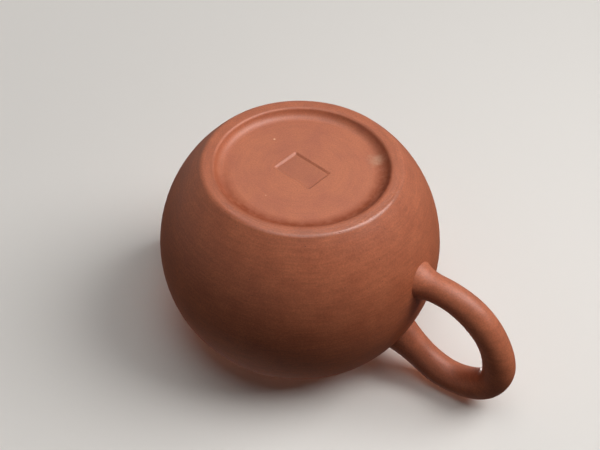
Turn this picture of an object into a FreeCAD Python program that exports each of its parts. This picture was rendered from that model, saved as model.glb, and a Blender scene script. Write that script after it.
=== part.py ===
# A hand-built clay teapot in millimetres: globe body, short spout, ear handle and a loose domed lid.
# The origin is the middle of the foot, +Z is up, the handle points to +X and the spout to -X.
import FreeCAD
import Part
import Sketcher
import math
import os

document = FreeCAD.newDocument("Teapot")
sheet = document.addObject("Spreadsheet::Sheet", "Sizes")

# How near two lengths count as the same
tolerance = 0.001

# Driving sizes, in millimetres and degrees
driving = {
    # Globe: two arcs turned about the axis, both upright where they meet at the equator
    "belly_radius": 40.0,
    "equator_height": 29.6,
    "wall": 3.2,
    # Foot and base
    "foot_radius": 27.3,
    "foot_width": 3.5,
    "foot_round": 1.8,
    "foot_inner_round": 0.9,
    "cove_arc": 2.9,
    "recess_depth": 2.4,
    "base_thickness": 3.2,
    "panel_length": 13.0,
    "panel_width": 9.0,
    "panel_depth": 0.4,
    "panel_slope": 0.6,
    "panel_turn": 9.0,
    "panel_corner": 0.6,
    "panel_round": 0.2,
    # Mouth and lid
    "mouth_height": 59.0,
    "mouth_radius": 23.4,
    "rim_width": 2.9,
    "shoulder_depth": 9.0,
    "seam_round": 0.5,
    "lid_rise": 9.3,
    "lid_thickness": 3.2,
    "flange_depth": 8.0,
    "flange_thickness": 2.2,
    "flange_clearance": 0.3,
    "flange_round": 0.7,
    # Knob and vent
    "knob_lift": 5.2,
    "knob_radius": 6.8,
    "knob_arc": 5.9,
    "knob_neck_radius": 5.0,
    "knob_foot_radius": 4.6,
    "knob_neck_arc": 1.5,
    "vent_radius": 1.0,
    "vent_flare": 1.2,
    # Handle: a level run, three tangent arcs and a straight run back into the shoulder
    "handle_stand": 25.4,
    "handle_drop": 6.7,
    "handle_low_arc": 21.0,
    "handle_outer_arc": 9.0,
    "handle_outer_turn": 48.5,
    "handle_upper_arc": 15.4,
    "handle_upper_turn": 71.0,
    "handle_low_radius": 4.0,
    "handle_outer_radius": 4.5,
    "handle_upper_radius": 4.35,
    "handle_root_flare": 2.6,
    "handle_low_sink": 2.8,
    "handle_upper_sink": 9.3,
    # Spout: round sections on one arc, swelling towards the root
    "spout_root_margin": 0.5,
    "spout_root_drop": 5.9,
    "spout_heading": 38.6,
    "spout_stand": 7.0,
    "spout_tip_drop": 2.0,
    "spout_root_radius": 18.0,
    "spout_tip_radius": 4.5,
    "spout_taper_power": 1.15,
    "spout_wall": 1.7,
    "spout_lip_round": 0.5,
    "passage_radius": 5.2,
    "passage_rise": 8.9,
    # Strainer
    "strainer_margin": 2.8,
    "strainer_thickness": 1.6,
    "strainer_sink": 0.6,
    "strainer_hole_radius": 0.8,
    "strainer_hole_pitch": 2.5,
}

# Sizes that follow from the driving ones
derived = {
    "foot_inner_radius": "foot_radius - foot_width",
    "cove_width": "sqrt(2 * cove_arc * recess_depth - recess_depth^2)",
    "recess_radius": "foot_inner_radius - cove_width",
    "base_top_height": "recess_depth + base_thickness",
    "panel_floor_length": "panel_length - 2 * panel_slope",
    "panel_floor_width": "panel_width - 2 * panel_slope",
    "rim_radius": "mouth_radius + rim_width",
    "shoulder_height": "mouth_height - shoulder_depth",
    "belly_inner_radius": "belly_radius - wall",
    "lower_inset": "belly_radius - foot_radius",
    "lower_arc": "(lower_inset^2 + equator_height^2) / (2 * lower_inset)",
    "lower_centre": "belly_radius - lower_arc",
    "lower_inner_arc": "lower_arc - wall",
    "upper_inset": "belly_radius - rim_radius",
    "upper_arc": "(upper_inset^2 + (mouth_height - equator_height)^2) / (2 * upper_inset)",
    "upper_centre": "belly_radius - upper_arc",
    "upper_inner_arc": "upper_arc - wall",
    "base_low_radius": "lower_centre + sqrt(lower_arc^2 - (equator_height - recess_depth)^2)",
    "base_top_radius": "lower_centre + sqrt(lower_arc^2 - (equator_height - base_top_height)^2)",
    "base_top_inner": "lower_centre + sqrt(lower_inner_arc^2 - (equator_height - base_top_height)^2)",
    "shoulder_radius": "upper_centre + sqrt(upper_arc^2 - (shoulder_height - equator_height)^2)",
    "shoulder_inner": "upper_centre + sqrt(upper_inner_arc^2 - (shoulder_height - equator_height)^2)",
    "mouth_low_height": "equator_height + sqrt(upper_inner_arc^2 - (mouth_radius - upper_centre)^2)",
    "lid_arc": "(rim_radius^2 + lid_rise^2) / (2 * lid_rise)",
    "lid_centre_height": "mouth_height + lid_rise - lid_arc",
    "lid_inner_arc": "lid_arc - lid_thickness",
    "lid_inner_radius": "sqrt(lid_inner_arc^2 - (mouth_height - lid_centre_height)^2)",
    "flange_radius": "mouth_radius - flange_clearance",
    "flange_inner_radius": "flange_radius - flange_thickness",
    "flange_low_height": "mouth_height - flange_depth",
    "vent_top_height": "lid_centre_height + sqrt(lid_arc^2 - vent_radius^2)",
    "vent_mouth_radius": "vent_radius + vent_flare",
    "vent_mouth_height": "lid_centre_height + sqrt(lid_inner_arc^2 - vent_mouth_radius^2)",
    "vent_throat_height": "vent_mouth_height + vent_flare",
    "knob_offset": "knob_radius - knob_arc",
    "knob_centre_height": "mouth_height + lid_rise + knob_lift",
    "knob_foot_height": "lid_centre_height + sqrt(lid_arc^2 - knob_foot_radius^2)",
    "knob_neck_height": "knob_centre_height - sqrt(knob_arc^2 - (knob_neck_radius - knob_offset)^2)",
    "knob_top_height": "knob_centre_height + sqrt(knob_arc^2 - (vent_radius - knob_offset)^2)",
    "handle_reach": "belly_radius + handle_stand",
    "handle_low_height": "equator_height - handle_drop",
    "handle_low_root": "lower_centre + sqrt(lower_arc^2 - handle_drop^2) - handle_low_sink",
    "handle_level_reach": "handle_reach - handle_low_arc",
    "handle_corner_height": "handle_low_height + handle_low_arc",
    "handle_turned": "90 + handle_outer_turn",
    "handle_end_heading": "handle_turned + handle_upper_turn",
    "handle_bend_reach": "handle_reach - handle_outer_arc * (1 - cos(handle_outer_turn))",
    "handle_bend_height": "handle_corner_height + handle_outer_arc * sin(handle_outer_turn)",
    "handle_upper_reach": "handle_bend_reach - handle_upper_arc * sin(handle_turned)",
    "handle_upper_height": "handle_bend_height + handle_upper_arc * cos(handle_turned)",
    "handle_end_reach": "handle_upper_reach + handle_upper_arc * sin(handle_end_heading)",
    "handle_end_height": "handle_upper_height - handle_upper_arc * cos(handle_end_heading)",
    "handle_upper_run": "(handle_end_reach - belly_radius + handle_upper_sink) / -cos(handle_end_heading)",
    "spout_root_height": "equator_height - spout_root_drop",
    "spout_root_below": "spout_root_drop + spout_root_radius * cos(spout_heading)",
    "spout_root_wall": "lower_centre + sqrt(lower_arc^2 - spout_root_below^2)",
    "spout_root_reach": "spout_root_wall - spout_root_radius * sin(spout_heading) - spout_root_margin",
    "spout_reach": "belly_radius + spout_stand",
    "spout_tip_height": "mouth_height - spout_tip_drop",
    "spout_run": "spout_reach - spout_root_reach",
    "spout_rise": "spout_tip_height - spout_root_height",
    "spout_chord": "sqrt(spout_run^2 + spout_rise^2)",
    "spout_lean": "atan2(spout_rise; spout_run) / (1 deg)",
    "spout_bend": "2 * (spout_lean - spout_heading)",
    "passage_height": "equator_height + passage_rise",
    "strainer_radius": "passage_radius + strainer_margin",
    "strainer_inner": "strainer_radius - strainer_thickness",
    "strainer_outer_pitch": "2 * strainer_hole_pitch",
    "strainer_centre": "belly_inner_radius - strainer_sink",
    "strainer_root": "strainer_centre + wall / 2",
    "strainer_apex": "strainer_centre - strainer_radius",
    "strainer_apex_inner": "strainer_centre - strainer_inner",
}


def fill_sheet():
    row = 0
    for name, number in driving.items():
        row = row + 1
        sheet.set("A%d" % row, name)
        sheet.set("B%d" % row, str(number))
        sheet.setAlias("B%d" % row, name)
    document.recompute()
    for name, formula in derived.items():
        row = row + 1
        sheet.set("A%d" % row, name)
        sheet.set("B%d" % row, "=" + formula)
        sheet.setAlias("B%d" % row, name)
        document.recompute()


# The number in the sheet under a name, its negative for a name with a minus sign, and 0 on an axis
def size(name):
    if name == "axis":
        return 0.0
    if name.startswith("-"):
        return -size(name[1:])
    return float(getattr(sheet, name))


def bound(name):
    if name.startswith("-"):
        return "-Sizes." + name[1:]
    return "Sizes." + name


def new_body(label):
    body = document.addObject("PartDesign::Body", label)
    body.Label = label
    return body


def new_sketch(body, name, role):
    sketch = body.newObject("Sketcher::SketchObject", name)
    planes = [feature for feature in body.Origin.OriginFeatures if feature.Role == role]
    sketch.AttachmentSupport = [(planes[0], "")]
    sketch.MapMode = "FlatFace"
    return sketch


def shift_sketch(sketch, offsets):
    for path, formula in offsets.items():
        sketch.setExpression("AttachmentOffset." + path, formula)


# The arc from one point to another with its centre on the left (+1) or right (-1) of the way
def arc_between(start, end, radius, side):
    chord = end - start
    middle = (start + end) * 0.5
    reach = math.sqrt(radius ** 2 - (chord.Length / 2) ** 2)
    left = FreeCAD.Vector(-chord.y, chord.x, 0) * (1 / chord.Length)
    centre = middle + left * reach * side
    first = start - centre
    last = end - centre
    angles = [math.atan2(first.y, first.x), math.atan2(last.y, last.x)]
    if side < 0:
        angles.reverse()
    circle = Part.Circle(centre, FreeCAD.Vector(0, 0, 1), radius)
    return Part.ArcOfCircle(circle, angles[0], angles[1])


# A closed outline: each corner is its two sheet names and, for an arc to the next corner, a name and a side
def draw_outline(sketch, corners):
    points = [FreeCAD.Vector(size(corner[0]), size(corner[1]), 0) for corner in corners]
    ends = []
    limits = []
    for index, corner in enumerate(corners):
        start = points[index]
        end = points[(index + 1) % len(points)]
        if len(corner) == 2:
            edge = sketch.addGeometry(Part.LineSegment(start, end), False)
            ends.append((edge, 1, 2))
        else:
            arc = arc_between(start, end, size(corner[2]), corner[3])
            edge = sketch.addGeometry(arc, False)
            ends.append((edge, 1, 2) if corner[3] > 0 else (edge, 2, 1))
            limits.append((Sketcher.Constraint("Radius", edge, size(corner[2])), corner[2]))
    for index, corner in enumerate(corners):
        edge, first, last = ends[index]
        before = ends[index - 1]
        sketch.addConstraint(Sketcher.Constraint("Coincident", before[0], before[2], edge, first))
        ways = zip(("DistanceX", "DistanceY"), corner, (-2, -1), points[index])
        for kind, name, own_axis, point in ways:
            if name == "axis":
                sketch.addConstraint(Sketcher.Constraint("PointOnObject", edge, first, own_axis))
            else:
                limits.append((Sketcher.Constraint(kind, -1, 1, edge, first, point), name))
    for constraint, name in limits:
        number = sketch.addConstraint(constraint)
        sketch.setExpression("Constraints[%d]" % number, bound(name))


def draw_circle(sketch, radius_formula, start_radius, across=None):
    centre = FreeCAD.Vector(0.0 if across is None else size(across), 0, 0)
    edge = sketch.addGeometry(Part.Circle(centre, FreeCAD.Vector(0, 0, 1), start_radius), False)
    if across is None:
        sketch.addConstraint(Sketcher.Constraint("Coincident", edge, 3, -1, 1))
    else:
        sketch.addConstraint(Sketcher.Constraint("PointOnObject", edge, 3, -1))
        number = sketch.addConstraint(Sketcher.Constraint("DistanceX", -1, 1, edge, 3, centre.x))
        sketch.setExpression("Constraints[%d]" % number, bound(across))
    number = sketch.addConstraint(Sketcher.Constraint("Radius", edge, start_radius))
    sketch.setExpression("Constraints[%d]" % number, radius_formula)


def turn_feature(body, kind, name, corners):
    sketch = new_sketch(body, name + "_outline", "XZ_Plane")
    draw_outline(sketch, corners)
    feature = body.newObject("PartDesign::" + kind, name)
    feature.Profile = sketch
    feature.ReferenceAxis = (sketch, ["V_Axis"])
    feature.Angle = 360
    document.recompute()
    return feature


def pocket_feature(body, sketch, name, depth_formula):
    before = body.Shape.Volume
    pocket = body.newObject("PartDesign::Pocket", name)
    pocket.Profile = sketch
    pocket.Type = "Length"
    pocket.setExpression("Length", depth_formula)
    document.recompute()
    if not body.Shape.Volume < before:
        raise RuntimeError(name + " cuts nothing")
    return pocket


def round_edges(body, base, name, radius_name, edges):
    fillet = body.newObject("PartDesign::Fillet", name)
    fillet.Base = (base, edges)
    fillet.setExpression("Radius", bound(radius_name))
    document.recompute()
    return fillet


# Names of the level round edges at a given radius and height
def level_edges(feature, radius_name, height_name):
    found = []
    for index, edge in enumerate(feature.Shape.Edges):
        box = edge.BoundBox
        level = abs(box.ZMin - size(height_name)) + abs(box.ZMax - size(height_name))
        if level < tolerance and abs(box.XMax - size(radius_name)) < tolerance:
            found.append("Edge%d" % (index + 1))
    return found


def make_foot_ring():
    body = new_body("foot_ring")
    ring = turn_feature(body, "Revolution", "foot_ring_turn", [
        ("foot_inner_radius", "axis"),
        ("foot_radius", "axis", "lower_arc", 1),
        ("base_low_radius", "recess_depth"),
        ("recess_radius", "recess_depth", "cove_arc", -1),
    ])
    outer = round_edges(body, ring, "foot_outer_edge", "foot_round", level_edges(ring, "foot_radius", "axis"))
    inner_edges = level_edges(outer, "foot_inner_radius", "axis")
    round_edges(body, outer, "foot_inner_edge", "foot_inner_round", inner_edges)
    return body


# A rectangle about the sketch's own origin
def draw_rectangle(sketch, length_name, width_name):
    half_length = size(length_name) / 2
    half_width = size(width_name) / 2
    signs = ((-1, -1), (1, -1), (1, 1), (-1, 1))
    corners = [FreeCAD.Vector(x * half_length, y * half_width, 0) for x, y in signs]
    for index in range(4):
        sketch.addGeometry(Part.LineSegment(corners[index], corners[(index + 1) % 4]), False)
    for index in range(4):
        direction = "Horizontal" if index % 2 == 0 else "Vertical"
        sketch.addConstraint(Sketcher.Constraint("Coincident", index, 2, (index + 1) % 4, 1))
        sketch.addConstraint(Sketcher.Constraint(direction, index))
    sketch.addConstraint(Sketcher.Constraint("Symmetric", 0, 1, 1, 2, -1, 1))
    for edge, kind, name in ((0, "DistanceX", length_name), (1, "DistanceY", width_name)):
        number = sketch.addConstraint(Sketcher.Constraint(kind, edge, 1, edge, 2, size(name)))
        sketch.setExpression("Constraints[%d]" % number, bound(name))


# A rectangular section of the stamped panel at a given height
def panel_section(body, name, length_name, width_name, height_formula):
    sketch = new_sketch(body, name, "XY_Plane")
    shift_sketch(sketch, {"Rotation.Angle": "Sizes.panel_turn", "Base.z": height_formula})
    draw_rectangle(sketch, length_name, width_name)
    return sketch


# Names of the edges that climb by a given size
def rising_edges(feature, rise_name):
    found = []
    for index, edge in enumerate(feature.Shape.Edges):
        if abs(edge.BoundBox.ZLength - size(rise_name)) < tolerance:
            found.append("Edge%d" % (index + 1))
    return found


# Names of the edges around the mouth of the stamped panel
def panel_rim_edges(feature):
    found = []
    for index, edge in enumerate(feature.Shape.Edges):
        box = edge.BoundBox
        level = abs(box.ZMin - size("recess_depth")) + abs(box.ZMax - size("recess_depth"))
        if level < tolerance and box.XMax < size("panel_length"):
            found.append("Edge%d" % (index + 1))
    return found


def make_base_slab():
    body = new_body("base_slab")
    turn_feature(body, "Revolution", "base_slab_turn", [
        ("axis", "recess_depth"),
        ("base_low_radius", "recess_depth", "lower_arc", 1),
        ("base_top_radius", "base_top_height"),
        ("axis", "base_top_height"),
    ])
    floor_height = "Sizes.recess_depth + Sizes.panel_depth"
    sections = [
        panel_section(body, "panel_mouth", "panel_length", "panel_width", "Sizes.recess_depth"),
        panel_section(body, "panel_floor", "panel_floor_length", "panel_floor_width", floor_height),
    ]
    panel = loft_feature(body, "SubtractiveLoft", "panel_recess", sections)
    corners = round_edges(body, panel, "panel_corners", "panel_corner", rising_edges(panel, "panel_depth"))
    round_edges(body, corners, "panel_rim", "panel_round", panel_rim_edges(corners))
    return body


def make_belly_wall():
    body = new_body("belly_wall")
    turn_feature(body, "Revolution", "belly_wall_turn", [
        ("base_top_inner", "base_top_height"),
        ("base_top_radius", "base_top_height", "lower_arc", 1),
        ("belly_radius", "equator_height", "upper_arc", 1),
        ("shoulder_radius", "shoulder_height"),
        ("shoulder_inner", "shoulder_height", "upper_inner_arc", -1),
        ("belly_inner_radius", "equator_height", "lower_inner_arc", -1),
    ])
    sketch = new_sketch(body, "passage_outline", "YZ_Plane")
    shift_sketch(sketch, {"Base.y": "Sizes.passage_height"})
    draw_circle(sketch, "Sizes.passage_radius", size("passage_radius"))
    pocket_feature(body, sketch, "spout_passage", "Sizes.belly_radius")
    return body


def make_shoulder_slab():
    body = new_body("shoulder_slab")
    slab = turn_feature(body, "Revolution", "shoulder_slab_turn", [
        ("shoulder_inner", "shoulder_height"),
        ("shoulder_radius", "shoulder_height", "upper_arc", 1),
        ("rim_radius", "mouth_height"),
        ("mouth_radius", "mouth_height"),
        ("mouth_radius", "mouth_low_height", "upper_inner_arc", -1),
    ])
    round_edges(body, slab, "rim_edge", "seam_round", level_edges(slab, "rim_radius", "mouth_height"))
    return body


# Cuts away what lies inside the globe's outer face, so that a root seats on it
def seat_on_belly(body, name):
    return turn_feature(body, "Groove", name, [
        ("axis", "base_top_height"),
        ("base_top_radius", "base_top_height", "lower_arc", 1),
        ("belly_radius", "equator_height", "upper_arc", 1),
        ("rim_radius", "mouth_height"),
        ("axis", "mouth_height"),
    ])


# A round section in the XZ plane: its place, the heading of the way through it and its radius, as formulas
def round_section(body, name, across, upward, heading, radius_formula, start_radius):
    sketch = new_sketch(body, name, "XY_Plane")
    quarter = FreeCAD.Rotation(FreeCAD.Vector(0, 1, 0), 90)
    sketch.AttachmentOffset = FreeCAD.Placement(FreeCAD.Vector(0, 0, 0), quarter)
    shift_sketch(sketch, {"Base.x": across, "Base.z": upward, "Rotation.Angle": "450 - (%s)" % heading})
    draw_circle(sketch, radius_formula, start_radius)
    return sketch


def loft_feature(body, kind, name, sections):
    loft = body.newObject("PartDesign::" + kind, name)
    loft.Profile = sections[0]
    loft.Sections = sections[1:]
    document.recompute()
    return loft


# Formulas for the sections along the handle, from the low root round to the shoulder
def handle_stations():
    low = "Sizes.handle_low_radius"
    outer = "Sizes.handle_outer_radius"
    upper = "Sizes.handle_upper_radius"
    root_shares = (1 / 3, 2 / 3, 1.0)
    root_swells = (0.08, 0.4, 1.0)
    low_shares = (0.25, 0.5, 0.75, 1.0)
    upper_shares = (0.0, 1 / 3, 2 / 3, 1.0)
    stations = [("Sizes.handle_level_reach", "Sizes.handle_low_height", "0", low)]
    for share, swell in zip(root_shares, root_swells):
        back = "(Sizes.handle_level_reach - Sizes.handle_low_root) * %s" % share
        swollen = "%s + Sizes.handle_root_flare * %s" % (low, swell)
        stations.insert(0, ("Sizes.handle_level_reach - " + back, "Sizes.handle_low_height", "0", swollen))
    for share in low_shares:
        heading = "90 * %s" % share
        stations.append(("Sizes.handle_level_reach + Sizes.handle_low_arc * sin(%s)" % heading,
                         "Sizes.handle_corner_height - Sizes.handle_low_arc * cos(%s)" % heading,
                         heading, "%s + (%s - %s) * %s" % (low, outer, low, share)))
    for share in upper_shares:
        heading = "(Sizes.handle_turned + Sizes.handle_upper_turn * %s)" % share
        stations.append(("Sizes.handle_upper_reach + Sizes.handle_upper_arc * sin(%s)" % heading,
                         "Sizes.handle_upper_height - Sizes.handle_upper_arc * cos(%s)" % heading,
                         heading, "%s + (%s - %s) * %s" % (outer, upper, outer, share)))
    for share, swell in zip(root_shares, root_swells):
        run = "Sizes.handle_upper_run * %s" % share
        stations.append(("Sizes.handle_end_reach + %s * cos(Sizes.handle_end_heading)" % run,
                         "Sizes.handle_end_height + %s * sin(Sizes.handle_end_heading)" % run,
                         "Sizes.handle_end_heading", "%s + Sizes.handle_root_flare * %s" % (upper, swell)))
    return stations


def make_handle():
    body = new_body("handle")
    sections = []
    for index, (across, upward, heading, radius) in enumerate(handle_stations()):
        name = "handle_section_%d" % index
        sections.append(round_section(body, name, across, upward, heading, radius, size("handle_low_radius")))
    loft_feature(body, "AdditiveLoft", "handle_loft", sections)
    seat_on_belly(body, "handle_seat")
    return body


# A section at a share of the way from the spout's root to its tip, thinner by a given formula
def spout_section(body, name, share, thinner):
    along = "(Sizes.spout_chord * sin(Sizes.spout_bend * %s / 2) / sin(Sizes.spout_bend / 2))" % share
    bearing = "(Sizes.spout_lean - Sizes.spout_bend * %s / 2)" % (1 - share)
    across = "-(Sizes.spout_root_reach + %s * cos(%s))" % (along, bearing)
    upward = "Sizes.spout_root_height + %s * sin(%s)" % (along, bearing)
    heading = "180 - (Sizes.spout_heading + Sizes.spout_bend * %s)" % share
    swell = "(Sizes.spout_root_radius - Sizes.spout_tip_radius) * %s ^ Sizes.spout_taper_power" % (1 - share)
    radius = "Sizes.spout_tip_radius + %s - %s" % (swell, thinner)
    return round_section(body, name, across, upward, heading, radius, size("spout_tip_radius"))


# Names of the edges that lie in the plane of the spout's tip
def spout_lip_edges(feature):
    heading = math.radians(180 - size("spout_heading") - size("spout_bend"))
    forward = FreeCAD.Vector(math.cos(heading), 0, math.sin(heading))
    tip = FreeCAD.Vector(-size("spout_reach"), 0, size("spout_tip_height"))
    lip_points = 5
    found = []
    for index, edge in enumerate(feature.Shape.Edges):
        if all(abs((point - tip).dot(forward)) < tolerance for point in edge.discretize(lip_points)):
            found.append("Edge%d" % (index + 1))
    return found


def make_spout():
    body = new_body("spout")
    shares = (0.0, 0.25, 0.5, 0.75, 1.0)
    outside = [spout_section(body, "spout_section_%d" % index, share, "0")
               for index, share in enumerate(shares)]
    loft_feature(body, "AdditiveLoft", "spout_loft", outside)
    inside = [spout_section(body, "spout_bore_%d" % index, share, "Sizes.spout_wall")
              for index, share in enumerate(shares)]
    loft_feature(body, "SubtractiveLoft", "spout_bore", inside)
    seat = seat_on_belly(body, "spout_seat")
    round_edges(body, seat, "spout_lip", "spout_lip_round", spout_lip_edges(seat))
    return body


# Holes through the dome along X, evenly spaced on a ring about its axis
def strainer_holes(body, name, ring_radius, count):
    sketch = new_sketch(body, name + "_outline", "YZ_Plane")
    shift_sketch(sketch, {"Base.y": "Sizes.passage_height"})
    draw_circle(sketch, "Sizes.strainer_hole_radius", size("strainer_hole_radius"), ring_radius)
    pocket = pocket_feature(body, sketch, name, "Sizes.strainer_centre")
    if count > 1:
        pattern = body.newObject("PartDesign::PolarPattern", name + "_ring")
        pattern.Originals = [pocket]
        pattern.Axis = (sketch, ["N_Axis"])
        pattern.Angle = 360
        pattern.Occurrences = count
        body.Tip = pattern
        document.recompute()


def make_strainer():
    body = new_body("strainer")
    sketch = new_sketch(body, "strainer_outline", "XZ_Plane")
    shift_sketch(sketch, {"Base.y": "Sizes.passage_height"})
    draw_outline(sketch, [
        ("-strainer_apex", "axis", "strainer_radius", 1),
        ("-strainer_centre", "strainer_radius"),
        ("-strainer_root", "strainer_radius"),
        ("-strainer_root", "strainer_inner"),
        ("-strainer_centre", "strainer_inner", "strainer_inner", -1),
        ("-strainer_apex_inner", "axis"),
    ])
    dome = body.newObject("PartDesign::Revolution", "strainer_dome")
    dome.Profile = sketch
    dome.ReferenceAxis = (sketch, ["H_Axis"])
    dome.Angle = 360
    document.recompute()
    turn_feature(body, "Groove", "strainer_seat", [
        ("base_top_inner", "base_top_height", "lower_inner_arc", 1),
        ("belly_inner_radius", "equator_height", "upper_inner_arc", 1),
        ("mouth_radius", "mouth_low_height"),
        ("belly_radius", "mouth_low_height"),
        ("belly_radius", "base_top_height"),
    ])
    strainer_holes(body, "middle_hole", None, 1)
    strainer_holes(body, "inner_holes", "strainer_hole_pitch", 6)
    strainer_holes(body, "outer_holes", "strainer_outer_pitch", 12)
    return body


def make_lid_slab():
    body = new_body("lid_slab")
    slab = turn_feature(body, "Revolution", "lid_slab_turn", [
        ("rim_radius", "mouth_height", "lid_arc", 1),
        ("vent_radius", "vent_top_height"),
        ("vent_radius", "vent_throat_height"),
        ("vent_mouth_radius", "vent_mouth_height", "lid_inner_arc", -1),
        ("lid_inner_radius", "mouth_height"),
    ])
    round_edges(body, slab, "lid_edge", "seam_round", level_edges(slab, "rim_radius", "mouth_height"))
    return body


def make_lid_flange():
    body = new_body("lid_flange")
    ring = turn_feature(body, "Revolution", "lid_flange_turn", [
        ("flange_inner_radius", "flange_low_height"),
        ("flange_radius", "flange_low_height"),
        ("flange_radius", "mouth_height"),
        ("flange_inner_radius", "mouth_height"),
    ])
    edges = level_edges(ring, "flange_radius", "flange_low_height")
    edges += level_edges(ring, "flange_inner_radius", "flange_low_height")
    round_edges(body, ring, "flange_edges", "flange_round", edges)
    return body


def make_knob():
    body = new_body("knob")
    turn_feature(body, "Revolution", "knob_turn", [
        ("vent_radius", "vent_top_height", "lid_arc", -1),
        ("knob_foot_radius", "knob_foot_height", "knob_neck_arc", -1),
        ("knob_neck_radius", "knob_neck_height", "knob_arc", 1),
        ("vent_radius", "knob_top_height"),
    ])
    return body


def check_and_write(bodies):
    for thing in document.Objects:
        if "Invalid" in thing.State or "Error" in thing.State:
            raise RuntimeError(thing.Name + " failed to rebuild")
    os.makedirs("parts", exist_ok=True)
    for body in bodies:
        shape = body.Shape
        if shape.isNull() or not shape.isValid() or len(shape.Solids) != 1:
            raise RuntimeError(body.Label + " is not one valid solid")
    for body in bodies:
        body.Shape.exportStep("parts/%s.step" % body.Label)
        print("%-14s %9.1f mm3" % (body.Label, body.Shape.Volume))


fill_sheet()
check_and_write([
    make_foot_ring(),
    make_base_slab(),
    make_belly_wall(),
    make_shoulder_slab(),
    make_spout(),
    make_strainer(),
    make_handle(),
    make_lid_slab(),
    make_lid_flange(),
    make_knob(),
])
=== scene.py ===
import math

import bmesh
import bpy
from mathutils import Matrix, Vector

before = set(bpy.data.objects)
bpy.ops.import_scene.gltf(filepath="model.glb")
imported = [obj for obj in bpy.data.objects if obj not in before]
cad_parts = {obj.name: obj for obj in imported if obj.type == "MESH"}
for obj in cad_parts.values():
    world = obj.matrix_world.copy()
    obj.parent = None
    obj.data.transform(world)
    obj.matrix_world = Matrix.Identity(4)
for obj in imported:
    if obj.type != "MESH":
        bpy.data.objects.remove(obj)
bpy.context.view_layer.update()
mm = 0.001
print("frame loaded:", len(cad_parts), "nodes")


# sRGB hex to the linear values that the shader wants
def hexColour(code):
    channels = [int(code[i:i + 2], 16) / 255 for i in (0, 2, 4)]
    return [c / 12.92 if c <= 0.04045 else ((c + 0.055) / 1.055) ** 2.4 for c in channels] + [1.0]


# adds one node with its settings and its inputs, in order or by name, fixed or linked
# gives back one of its outputs, or the node itself for an output of None
def addNode(tree, kind, inputs=(), output=0, **settings):
    node = tree.nodes.new("ShaderNode" + kind)
    for name, value in settings.items():
        setattr(node, name, value)
    for name, value in inputs.items() if isinstance(inputs, dict) else enumerate(inputs):
        if isinstance(value, bpy.types.NodeSocket):
            tree.links.new(value, node.inputs[name])
        else:
            node.inputs[name].default_value = value
    return node if output is None else node.outputs[output]


def newMaterial(name):
    material = bpy.data.materials.new(name)
    material.use_nodes = True
    material.node_tree.nodes.clear()
    return material, material.node_tree


globe = {
    "middle": (0.0, 0.0, 29.6),
    "radius": 40.0,
    "skin": (38.5, 37.9),  # nearer the middle is inside the pot, under the lid or in the foot's recess
}


# Where a point lies on the pot, in millimetres. The marks' spot turns height into the way round the
# profile, so that tool marks run level round the wall and in rings on the base and the lid.
def potPlace(tree, strokeLength):
    metres = addNode(tree, "TexCoord", output="Object")
    spot = addNode(tree, "VectorMath", {0: metres, "Scale": 1 / mm}, operation="SCALE")
    offset = addNode(tree, "VectorMath", [spot, globe["middle"]], operation="SUBTRACT")
    depth = addNode(tree, "VectorMath", [offset], "Value", operation="LENGTH")
    offX, offY, offZ = addNode(tree, "SeparateXYZ", [offset], None).outputs
    level = addNode(tree, "CombineXYZ", [offX, offY])
    reach = addNode(tree, "VectorMath", [level], "Value", operation="LENGTH")
    slope = addNode(tree, "Math", [offZ, reach], operation="ARCTAN2")
    along = addNode(tree, "Math", [slope, globe["radius"]], operation="MULTIPLY")
    drawnX = addNode(tree, "Math", [offX, strokeLength], operation="DIVIDE")
    drawnY = addNode(tree, "Math", [offY, strokeLength], operation="DIVIDE")
    marks = addNode(tree, "CombineXYZ", [drawnX, drawnY, along])
    height = addNode(tree, "Math", [offZ, globe["middle"][2]], operation="ADD")
    return {"spot": spot, "marks": marks, "depth": depth, "level": level, "reach": reach, "height": height}


# round grains scattered at a spacing, a share of the cells filled: 1 in the grain, 0 outside
def scatter(tree, spot, spacing, radius, share):
    core = 0.4 * radius  # a grain is at full strength out to here
    cells = addNode(tree, "TexVoronoi", {"Vector": spot, "Scale": 1 / spacing}, None).outputs
    grain = addNode(tree, "MapRange", [cells["Distance"], radius / spacing, core / spacing])
    filled = addNode(tree, "Math", [cells["Color"], share], operation="LESS_THAN")
    return addNode(tree, "Math", [grain, filled], operation="MULTIPLY")


# where the noise's values mostly lie: a narrower span gives more contrast
noiseSpan = {"tone": (0.34, 0.66), "shade": (0.35, 0.65), "rough": (0.3, 0.7)}


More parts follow.
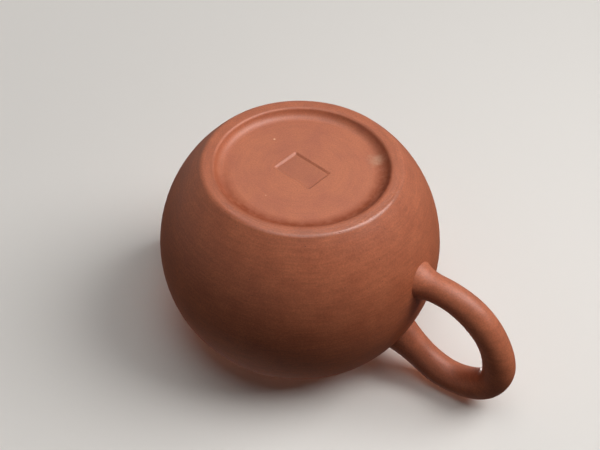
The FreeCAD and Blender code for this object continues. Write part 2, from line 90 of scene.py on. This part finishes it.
# One finish of the clay: its colour, roughness and height, to be blended with another
def clayFinish(tree, place, look):
    noise = {}
    for name, where, size, detail, roughness in (("cloud", "spot", "cloudSize", 3.0, 0.6),
                                                 ("grain", "spot", "grainSize", 2.0, 0.7),
                                                 ("stroke", "marks", "strokeWidth", 3.0, 0.6)):
        noise[name] = addNode(tree, "TexNoise", {"Vector": place[where], "Scale": 1 / look[size],
                                                 "Detail": detail, "Roughness": roughness}, "Fac")
    pale = scatter(tree, place["spot"], *look["paleGrains"])
    dark = scatter(tree, place["spot"], *look["darkGrains"])
    warmth = addNode(tree, "MapRange", [noise["cloud"], *noiseSpan["tone"]])
    tone = addNode(tree, "Mix", {0: warmth, 6: hexColour(look["deepTone"]), 7: hexColour(look["warmTone"])},
                   2, data_type="RGBA")
    for name in ("grain", "stroke"):
        contrast = look[name + "Contrast"]
        shade = addNode(tree, "MapRange", [noise[name], *noiseSpan["shade"], 1 - contrast, 1 + contrast])
        tone = addNode(tree, "VectorMath", {0: tone, "Scale": shade}, operation="SCALE")
    for share, colour in ((dark, "darkTone"), (pale, "paleTone")):
        tone = addNode(tree, "Mix", {0: share, 6: tone, 7: hexColour(look[colour])}, 2, data_type="RGBA")
    height = addNode(tree, "Math", [noise["grain"], look["grainDepth"]], operation="MULTIPLY")
    height = addNode(tree, "Math", [noise["stroke"], look["strokeDepth"], height], operation="MULTIPLY_ADD")
    height = addNode(tree, "Math", [dark, -look["pitDepth"], height], operation="MULTIPLY_ADD")
    rough = addNode(tree, "MapRange", [noise["cloud"], *noiseSpan["rough"], *look["rough"]])
    return {"tone": tone, "rough": rough, "height": height}


# Marks under the foot: painted shade in the cove, a brown darkening heaviest on one side, a pale crust of lime
# beside it, the foot's standing edge rubbed smooth, and the panel's ground a little darker. Each mark is a
# product of limits.
def underMarks(tree, place, look):
    reach, height = place["reach"], place["height"]
    blur = addNode(tree, "TexNoise", {"Vector": place["spot"], "Scale": 1 / look["blurSize"], "Detail": 3.0},
                   "Fac")
    under = addNode(tree, "Math", [height, look["topHeight"]], operation="LESS_THAN")
    turned = addNode(tree, "VectorMath", [place["level"], look["coveShadeToward"]], "Value",
                     operation="DOT_PRODUCT")
    facing = addNode(tree, "Math", [turned, reach], operation="DIVIDE")
    away = addNode(tree, "VectorMath", [place["spot"], look["crustSpot"]], "Value", operation="DISTANCE")
    frayed = addNode(tree, "MapRange", [blur, *noiseSpan["rough"], -look["crustFray"], look["crustFray"]])
    ragged = addNode(tree, "Math", [away, frayed], operation="ADD")
    limits = {
        # the cove's mark is painted shade, darker on the side it turns toward
        "coveShade": [(reach, *look["coveShadeInner"]), (reach, *look["coveShadeOuter"]), (facing, *look["coveShadeTurn"]),
                   (blur, *look["coveShadeBlur"])],
        "crust": [(ragged, look["crustSize"], 0.0, 0.0, look["crustShare"])],
        "pressed": [(reach, *look["panelReach"]), (height, *look["panelHeight"])],
        "rubbed": [(reach, *look["rubbedReach"]), (height, *look["rubbedHeight"]),
                   (facing, *look["rubbedTurn"])],
    }
    marks = {}
    for name, spans in limits.items():
        marks[name] = under
        for span in spans:
            share = addNode(tree, "MapRange", span)
            marks[name] = addNode(tree, "Math", [marks[name], share], operation="MULTIPLY")
    return marks


# Fired zisha stoneware: red-brown, sandy and unglazed. Outside it is burnished with a horn tool and has a
# soft low gloss with faint level strokes; inside and under the foot it is only scraped, and paler.
def makeClay(name, outer, inner, under):
    material, tree = newMaterial(name)
    place = potPlace(tree, outer["strokeLength"])
    skin = clayFinish(tree, place, outer)
    bare = clayFinish(tree, place, inner)
    marksAndShade = underMarks(tree, place, under)
    inside = addNode(tree, "MapRange", [place["depth"], *globe["skin"]])
    tone = addNode(tree, "Mix", {0: inside, 6: skin["tone"], 7: bare["tone"]}, 2, data_type="RGBA")
    rough = addNode(tree, "Mix", {0: inside, 2: skin["rough"], 3: bare["rough"]})
    height = addNode(tree, "Mix", {0: inside, 2: skin["height"], 3: bare["height"]})
    rough = addNode(tree, "Math", [marksAndShade["rubbed"], -under["rubbedPolish"], rough], operation="MULTIPLY_ADD")
    rough = addNode(tree, "Math", [marksAndShade["coveShade"], under["coveShadeRough"], rough], operation="MULTIPLY_ADD")
    # painted shade in the cove and the pale crust of lime are mixed into the tone
    for mark in ("coveShade", "crust"):
        tone = addNode(tree, "Mix", {0: marksAndShade[mark], 6: tone, 7: hexColour(under[mark + "Tone"])}, 2,
                       data_type="RGBA")
    dull = addNode(tree, "MapRange", [marksAndShade["pressed"], 0.0, 1.0, 1.0, under["panelShade"]])
    tone = addNode(tree, "VectorMath", {0: tone, "Scale": dull}, operation="SCALE")
    bump = addNode(tree, "Bump", {"Strength": 1.0, "Distance": mm, "Height": height}, "Normal")
    shader = addNode(tree, "BsdfPrincipled", {"Base Color": tone, "Roughness": rough, "Normal": bump,
                                              "IOR": 1.5, "Specular IOR Level": 0.5}, "BSDF")
    addNode(tree, "OutputMaterial", {"Surface": shader}, None)
    return material


# sizes and depths are in millimetres; grains are spacing, radius and the share of cells filled
burnished = {
    "deepTone": "a05638", "warmTone": "ac6040", "paleTone": "d8ab8c", "darkTone": "5a2c20",
    "cloudSize": 6.0, "grainSize": 0.45, "strokeWidth": 0.6,
    "strokeLength": 12.0,  # times the width
    "paleGrains": (3.4, 0.4, 0.16), "darkGrains": (1.5, 0.18, 0.25),
    "grainContrast": 0.15, "strokeContrast": 0.09,
    "grainDepth": 0.03, "strokeDepth": 0.02, "pitDepth": 0.04, "rough": (0.45, 0.53),
}
scraped = {
    "deepTone": "a85e42", "warmTone": "b36848", "paleTone": "e0b595", "darkTone": "7a4030",
    "cloudSize": 7.0, "grainSize": 0.4, "strokeWidth": 0.8,
    "paleGrains": (3.4, 0.4, 0.16), "darkGrains": (1.5, 0.15, 0.2),
    "grainContrast": 0.12, "strokeContrast": 0.04,
    "grainDepth": 0.03, "strokeDepth": 0.015, "pitDepth": 0.04, "rough": (0.4, 0.48),
}
# reach is the distance from the axis, height from the table; a turn runs from -1, facing away, to 1
underside = {
    "blurSize": 1.5, "topHeight": 3.2,
    "rubbedReach": (24.8, 25.8), "rubbedHeight": (0.6, 0.25), "rubbedTurn": (0.1, 0.6), "rubbedPolish": 0.24,
    # painted shade in the cove: a brown darkening between these reaches, heaviest on the side it turns toward
    "coveShadeInner": (18.8, 21.2), "coveShadeOuter": (24.9, 24.0),
    "coveShadeToward": (0.7, 0.714, 0.0), "coveShadeTurn": (-0.5, 0.5),
    "coveShadeBlur": (0.3, 0.6, 0.6, 0.95),  # noise from and to, then the least and the most painted shade
    "coveShadeRough": 0.45, "coveShadeTone": "803610",
    "crustSpot": (14.4, -15.0, 2.4), "crustSize": 3.0, "crustFray": 0.8, "crustShare": 0.5,
    "crustTone": "c09a7e",
    "panelReach": (9.0, 8.8), "panelHeight": (2.45, 2.7), "panelShade": 0.92,
}
clay = makeClay("zisha stoneware, burnished outside and scraped inside", burnished, scraped, underside)
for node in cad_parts.values():
    node.data.materials.clear()
    node.data.materials.append(clay)
print("clay laid on", len(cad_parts), "nodes")

view = {
    "azimuth": 32.0,  # of the viewer, from the +Y side towards the handle
    "dip": 45.43,  # how far below the belly's middle
    "distance": 317.1,
    "roll": 1.82,
    "lens": 66.0,
    "sensor": 36.0,
    "raise": 15.54 / 1100,  # the picture's middle lies this far over the globe's, per unit of distance
}
turn = math.radians(view["azimuth"])
dip = math.radians(view["dip"])
roll = math.radians(view["roll"])
outward = Vector((math.sin(turn) * math.cos(dip), math.cos(turn) * math.cos(dip), -math.sin(dip)))
across = Vector((math.cos(turn), -math.sin(turn), 0.0))
upward = across.cross(outward) * -1
top = upward * math.cos(roll) - across * math.sin(roll)
forward = (top * view["raise"] - outward).normalized()
top = (top - forward * top.dot(forward)).normalized()
right = forward.cross(top)
cameraData = bpy.data.cameras.new("photo_camera")
cameraData.lens = view["lens"]
cameraData.sensor_width = view["sensor"]
cameraData.sensor_fit = "HORIZONTAL"
cameraData.clip_start = 0.01
camera = bpy.data.objects.new("photo_camera", cameraData)
bpy.context.scene.collection.objects.link(camera)
stand = (Vector(globe["middle"]) + outward * view["distance"]) * mm
camera.matrix_world = Matrix.Translation(stand) @ Matrix((right, top, -forward)).transposed().to_4x4()
bpy.context.scene.camera = camera
print("camera at", [round(c, 4) for c in stand])

stage = {
    "floorHeight": 0.0,
    "tableHeight": 59.3,  # the plane of mouth, handle top and spout tip, on which the upturned pot rests
    "reach": 4000.0,
    "tone": "e2ded9",
    "farTone": "d6d2cd",  # what it fades to away from the pot, and the room's tone behind it
    "fade": (110.0, 400.0),
}


# Pale matte paper that keeps the pot's shadow and fades into the room further off. It is seen from its
# front side only, and lets through all light but the camera's.
def makePaper(name):
    material, tree = newMaterial(name)
    metres = addNode(tree, "TexCoord", output="Object")
    away = addNode(tree, "VectorMath", [metres], "Value", operation="LENGTH")
    far = addNode(tree, "MapRange", [away] + [edge * mm for edge in stage["fade"]])
    matte = addNode(tree, "BsdfDiffuse", {"Color": hexColour(stage["tone"])})
    plain = addNode(tree, "Emission", {"Color": hexColour(stage["farTone"]), "Strength": 1.0})
    sheet = addNode(tree, "MixShader", [far, matte, plain])
    clear = addNode(tree, "BsdfTransparent")
    back = addNode(tree, "NewGeometry", output="Backfacing")
    front = addNode(tree, "Math", [1.0, back], operation="SUBTRACT")
    cameraRay = addNode(tree, "LightPath", output="Is Camera Ray")
    seen = addNode(tree, "Math", [cameraRay, front], operation="MULTIPLY")
    mixed = addNode(tree, "MixShader", [seen, clear, sheet])
    addNode(tree, "OutputMaterial", {"Surface": mixed}, None)
    return material


def addPlane(name, height, faceDown, material):
    sheet = bmesh.new()
    bmesh.ops.create_grid(sheet, x_segments=1, y_segments=1, size=stage["reach"] * mm,
                          matrix=Matrix.Translation((0.0, 0.0, height * mm)))
    if faceDown:
        bmesh.ops.reverse_faces(sheet, faces=sheet.faces)
    mesh = bpy.data.meshes.new(name)
    sheet.to_mesh(mesh)
    sheet.free()
    mesh.materials.append(material)
    plane = bpy.data.objects.new(name, mesh)
    bpy.context.scene.collection.objects.link(plane)


paper = makePaper("pale matte paper")
addPlane("floor", stage["floorHeight"], False, paper)
addPlane("photo_table", stage["tableHeight"], True, paper)

# distances and sizes in metres; a lamp lights the matte clay, shows in its gloss, or both
lamps = {
    "photo_key": {"from": (0.53, -0.37, -0.765), "distance": 0.75, "size": 0.55, "power": 4.8,
                  "matte": True, "shine": False},
    "photo_gleam": {"from": (0.38, -0.38, -0.845), "distance": 0.75, "size": 0.5, "power": 3.6,
                    "matte": False, "shine": True},
    "photo_fill": {"from": (0.05, 0.05, -0.997), "distance": 1.0, "size": 0.8, "power": 3.7,
                   "matte": True, "shine": True},
    "photo_sheen": {"from": (-0.3, -0.48, -0.824), "distance": 1.0, "size": 0.5, "power": 0.8,
                    "matte": False, "shine": True},
    "room_key": {"from": (-0.372, -0.595, 0.712), "distance": 0.9, "size": 0.3, "power": 8.2,
                 "matte": True, "shine": True},
    "room_top": {"from": (-0.2, 0.1, 0.97), "distance": 0.9, "size": 0.6, "power": 2.0,
                 "matte": True, "shine": False},
}
middle = Vector(globe["middle"]) * mm
for name, lamp in lamps.items():
    lampData = bpy.data.lights.new(name, "AREA")
    lampData.shape = "DISK"
    lampData.size = lamp["size"]
    lampData.energy = lamp["power"]
    lampObject = bpy.data.objects.new(name, lampData)
    lampObject.visible_diffuse = lamp["matte"]
    lampObject.visible_glossy = lamp["shine"]
    bpy.context.scene.collection.objects.link(lampObject)
    ray = Vector(lamp["from"]).normalized()
    lampObject.location = middle + ray * lamp["distance"]
    lampObject.rotation_mode = "QUATERNION"
    lampObject.rotation_quaternion = ray.to_track_quat("Z", "Y")

# how strong the room is by the climb of a ray, from -1 straight down to 1 straight up: the climb from and to,
# then the strength at each
room = {
    "dim": (-0.3, 0.3, 0.05, 0.03),  # the soft light on the matte clay
    "glow": (0.0, 0.4, 1.0, 0.1),  # what its gloss shows: the pale horizon, and less overhead
}
world = bpy.data.worlds.new("soft room")
bpy.context.scene.world = world
world.use_nodes = True
world.node_tree.nodes.clear()
tree = world.node_tree
direction = addNode(tree, "TexCoord", output="Generated")
climb = addNode(tree, "SeparateXYZ", [direction], 2)
soft = addNode(tree, "MapRange", [climb, *room["dim"]])
dim = addNode(tree, "Background", {"Color": (1.0, 1.0, 1.0, 1.0), "Strength": soft})
rays = addNode(tree, "LightPath", output=None).outputs
sharp = rays["Is Camera Ray"]
for kind in ("Is Glossy Ray", "Is Transmission Ray"):
    sharp = addNode(tree, "Math", [sharp, rays[kind]], operation="MAXIMUM")
shown = addNode(tree, "MapRange", [climb, *room["glow"]])
glow = addNode(tree, "Math", [rays["Is Camera Ray"], shown], operation="MAXIMUM")
pale = addNode(tree, "Background", {"Color": hexColour(stage["farTone"]), "Strength": glow})
mixed = addNode(tree, "MixShader", [sharp, dim, pale])
addNode(tree, "OutputWorld", {"Surface": mixed}, None)
print("stage and", len(lamps), "lamps set")

bpy.context.scene.view_settings.view_transform = "Standard"
